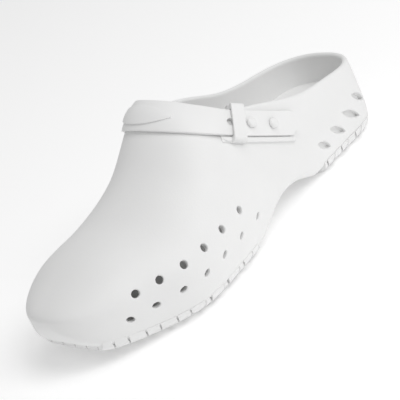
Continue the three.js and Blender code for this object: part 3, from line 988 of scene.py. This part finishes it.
def button(name, distance, side, steps=8):
    """Turned button with a domed head, standing on the wall."""
    head = STRAP_TOP + GAP
    profile = [(0, STRAP_UNDER), (STEM_RADIUS, STRAP_UNDER), (STEM_RADIUS, head),
               (BUTTON_RADIUS - BUTTON_CHAMFER, head)]
    for i in range(steps):
        turn = math.pi / 2 * i / steps
        dome = (BUTTON_HEIGHT - BUTTON_EDGE) * math.sin(turn)
        profile.append((BUTTON_RADIUS * math.cos(turn) ** BUTTON_BLUNTNESS, head + BUTTON_EDGE + dome))
    profile.append((0, head + BUTTON_HEIGHT))
    spot = strap_point(distance)
    centre, outward = wall_place(spot.x, spot.y, side)
    bm = bmesh.new()
    verts = [bm.verts.new((r, 0, h)) for r, h in profile]
    edges = [bm.edges.new(pair) for pair in zip(verts, verts[1:])]
    bmesh.ops.spin(bm, geom=verts + edges, cent=(0, 0, 0), axis=(0, 0, 1), angle=2 * math.pi, steps=28,
                   use_merge=True)
    bmesh.ops.remove_doubles(bm, verts=bm.verts, dist=1e-4)
    turn = Vector((0, 0, 1)).rotation_difference(outward).to_matrix().to_4x4()
    bmesh.ops.transform(bm, matrix=Matrix.Translation(centre) @ turn, verts=bm.verts)
    return new_object(name, bm)


# Materials


def socket(group, name, kind, way, value=None):
    made = group.interface.new_socket(name=name, in_out=way, socket_type=kind)
    if value is not None:
        made.default_value = value
    return made


def moulded_grain():
    """Group that gives the fine skin of moulded foam: its relief, its cloudiness and its gloss."""
    group = bpy.data.node_groups.new("moulded_grain", "ShaderNodeTree")
    socket(group, "Place", "NodeSocketVector", "INPUT")
    socket(group, "Grain Scale", "NodeSocketFloat", "INPUT", 900)
    socket(group, "Cloud Scale", "NodeSocketFloat", "INPUT", 25)
    socket(group, "Relief", "NodeSocketFloat", "OUTPUT")
    socket(group, "Cloud", "NodeSocketFloat", "OUTPUT")
    socket(group, "Gloss", "NodeSocketFloat", "OUTPUT")
    nodes, links = group.nodes, group.links
    given = nodes.new("NodeGroupInput")
    result = nodes.new("NodeGroupOutput")
    grain = nodes.new("ShaderNodeTexNoise")
    grain.inputs["Detail"].default_value = 3
    grain.inputs["Roughness"].default_value = 0.6
    cloud = nodes.new("ShaderNodeTexNoise")
    cloud.inputs["Detail"].default_value = 4
    spread = nodes.new("ShaderNodeMapRange")
    spread.inputs["From Min"].default_value = 0.35
    spread.inputs["From Max"].default_value = 0.65
    links.new(given.outputs["Place"], grain.inputs["Vector"])
    links.new(given.outputs["Grain Scale"], grain.inputs["Scale"])
    links.new(given.outputs["Place"], cloud.inputs["Vector"])
    links.new(given.outputs["Cloud Scale"], cloud.inputs["Scale"])
    links.new(cloud.outputs["Fac"], spread.inputs["Value"])
    links.new(grain.outputs["Fac"], result.inputs["Relief"])
    links.new(spread.outputs["Result"], result.inputs["Cloud"])
    links.new(grain.outputs["Fac"], result.inputs["Gloss"])
    return group


GRAIN = moulded_grain()


def foam(name, light, dark, grain_scale, relief, gloss_low, gloss_high):
    """White closed-cell foam with a moulded skin, whose relief is in metres."""
    material = bpy.data.materials.new(name)
    material.use_nodes = True
    nodes, links = material.node_tree.nodes, material.node_tree.links
    shader = nodes["Principled BSDF"]
    shader.inputs["Specular IOR Level"].default_value = 0.4
    place = nodes.new("ShaderNodeTexCoord")
    grain = nodes.new("ShaderNodeGroup")
    grain.node_tree = GRAIN
    grain.inputs["Grain Scale"].default_value = grain_scale
    tone = nodes.new("ShaderNodeMix")
    tone.data_type = "RGBA"
    tone.inputs["A"].default_value = (*dark, 1)
    tone.inputs["B"].default_value = (*light, 1)
    gloss = nodes.new("ShaderNodeMapRange")
    gloss.inputs["To Min"].default_value = gloss_low
    gloss.inputs["To Max"].default_value = gloss_high
    bump = nodes.new("ShaderNodeBump")
    bump.inputs["Strength"].default_value = 1
    bump.inputs["Distance"].default_value = relief
    links.new(place.outputs["Object"], grain.inputs["Place"])
    links.new(grain.outputs["Cloud"], tone.inputs["Factor"])
    links.new(tone.outputs["Result"], shader.inputs["Base Color"])
    links.new(grain.outputs["Gloss"], gloss.inputs["Value"])
    links.new(gloss.outputs["Result"], shader.inputs["Roughness"])
    links.new(grain.outputs["Relief"], bump.inputs["Height"])
    links.new(bump.outputs["Normal"], shader.inputs["Normal"])
    return material


SHELL_FOAM = foam("shell_foam", light=(0.86, 0.86, 0.857), dark=(0.84, 0.84, 0.837),
                  grain_scale=900, relief=0.00005, gloss_low=0.42, gloss_high=0.6)
STRAP_FOAM = foam("strap_foam", light=(0.86, 0.86, 0.857), dark=(0.845, 0.845, 0.842),
                  grain_scale=1300, relief=0.00002, gloss_low=0.36, gloss_high=0.5)
FOOTBED_FOAM = foam("footbed_foam", light=(0.84, 0.84, 0.835), dark=(0.81, 0.81, 0.805),
                    grain_scale=600, relief=0.0001, gloss_low=0.55, gloss_high=0.75)

TO_FRAME = Matrix.Translation((-LENGTH / 2000, -ACROSS_MIDDLE / 1000, 0)) @ Matrix.Scale(0.001, 4)


def dress(piece, material, node):
    """Puts a finished piece into the frame in place of its solid."""
    piece.data.transform(TO_FRAME)
    piece.data.materials.clear()
    piece.data.materials.append(material)
    piece.data.shade_smooth()
    piece.data.set_sharp_from_angle(angle=SHARP_ANGLE)
    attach(piece, "root")
    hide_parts(node)


dress(upper_shell(), SHELL_FOAM, "upper")
dress(sole_unit(), SHELL_FOAM, "sole")
dress(foot_insole(), FOOTBED_FOAM, "insole")
dress(instep_strap(), STRAP_FOAM, "strap")
dress(at_keeper("keeper_loop", keeper_section, 0), STRAP_FOAM, "strap_keeper")
dress(button("rear_button", TAIL_TO_HOLE, OUTER), STRAP_FOAM, "button_rear")
dress(button("front_button", FRONT_HOLE, OUTER), STRAP_FOAM, "button_front")
dress(button("inner_button", INNER_HOLE, INNER), STRAP_FOAM, "button_inner")

# Floor, light and camera

FLOOR_REACH = 12
FLOOR_TONE = 0.96
FLOOR_ROUGHNESS = 0.8
FLOOR_GLOW = 0.2
WORLD_LIGHT = 0.46
WORLD_SEEN = 1
LIT_PLACE = (0, 0, 0.03)
LAMP_SIZE = 1
LAMPS = [
    dict(name="key_light", place=(-0.2, 1.1, 1.2), power=8.8),
    dict(name="top_light", place=(-0.25, 0.35, 1.7), power=4.8),
]


def plain_floor():
    bm = bmesh.new()
    bmesh.ops.create_grid(bm, x_segments=1, y_segments=1, size=FLOOR_REACH)
    floor = new_object("floor", bm)
    material = bpy.data.materials.new("pale_floor")
    material.use_nodes = True
    shader = material.node_tree.nodes["Principled BSDF"]
    shader.inputs["Base Color"].default_value = (FLOOR_TONE, FLOOR_TONE, FLOOR_TONE, 1)
    shader.inputs["Roughness"].default_value = FLOOR_ROUGHNESS
    shader.inputs["Emission Color"].default_value = (1, 1, 1, 1)
    shader.inputs["Emission Strength"].default_value = FLOOR_GLOW
    floor.data.materials.append(material)


def soft_light(name, place, power):
    data = bpy.data.lights.new(name, "AREA")
    data.shape = "DISK"
    data.size = LAMP_SIZE
    data.energy = power
    lamp = bpy.data.objects.new(name, data)
    lamp.location = place
    lamp.rotation_euler = (Vector(LIT_PLACE) - Vector(place)).to_track_quat("-Z", "Y").to_euler()
    bpy.context.scene.collection.objects.link(lamp)


def white_studio():
    """World that lights the shoe softly and is seen as plain white."""
    world = bpy.data.worlds.new("studio")
    world.use_nodes = True
    nodes, links = world.node_tree.nodes, world.node_tree.links
    background = nodes["Background"]
    background.inputs["Color"].default_value = (1, 1, 1, 1)
    strength = nodes.new("ShaderNodeMapRange")
    strength.inputs["To Min"].default_value = WORLD_LIGHT
    strength.inputs["To Max"].default_value = WORLD_SEEN
    light_path = nodes.new("ShaderNodeLightPath")
    links.new(light_path.outputs["Is Camera Ray"], strength.inputs["Value"])
    links.new(strength.outputs["Result"], background.inputs["Strength"])
    bpy.context.scene.world = world


plain_floor()
for lamp in LAMPS:
    soft_light(**lamp)
white_studio()
bpy.context.scene.view_settings.view_transform = "Standard"

# The camera stands where the photograph's did and is rolled with it. FIELD and the pixels are those of
# the photograph's frame, and CLOSER is how much more the lens enlarges, to frame the one shoe.
PHOTO_SIZE = 400
AZIMUTH = math.radians(142.28)
ELEVATION = math.radians(23.89)
ROLL = math.radians(-24.98)
DISTANCE = 0.9316
FIELD = math.radians(19.94)
AIM = Vector((0, -0.0018, 0.035))
AIM_PIXEL = (141.5, 178.8)
SHOE_MIDDLE = (141, 190)
CLOSER = 1.4

back = Vector((math.sin(AZIMUTH), -math.cos(AZIMUTH), math.tan(ELEVATION))).normalized()
level = Vector((0, 0, 1)).cross(back).normalized()
upright = back.cross(level)
right = level * math.cos(ROLL) + upright * math.sin(ROLL)
upward = upright * math.cos(ROLL) - level * math.sin(ROLL)
camera_data = bpy.data.cameras.new("camera")
camera_data.sensor_width = 36
camera_data.angle = 2 * math.atan(math.tan(FIELD / 2) / CLOSER)
camera_data.shift_x = (SHOE_MIDDLE[0] - AIM_PIXEL[0]) * CLOSER / PHOTO_SIZE
camera_data.shift_y = (AIM_PIXEL[1] - SHOE_MIDDLE[1]) * CLOSER / PHOTO_SIZE
camera_data.clip_start = 0.01
camera = bpy.data.objects.new("camera", camera_data)
turned = Matrix((right, upward, back)).transposed().to_4x4()
camera.matrix_world = Matrix.Translation(AIM + back * DISTANCE) @ turned
bpy.context.scene.collection.objects.link(camera)
bpy.context.scene.camera = camera
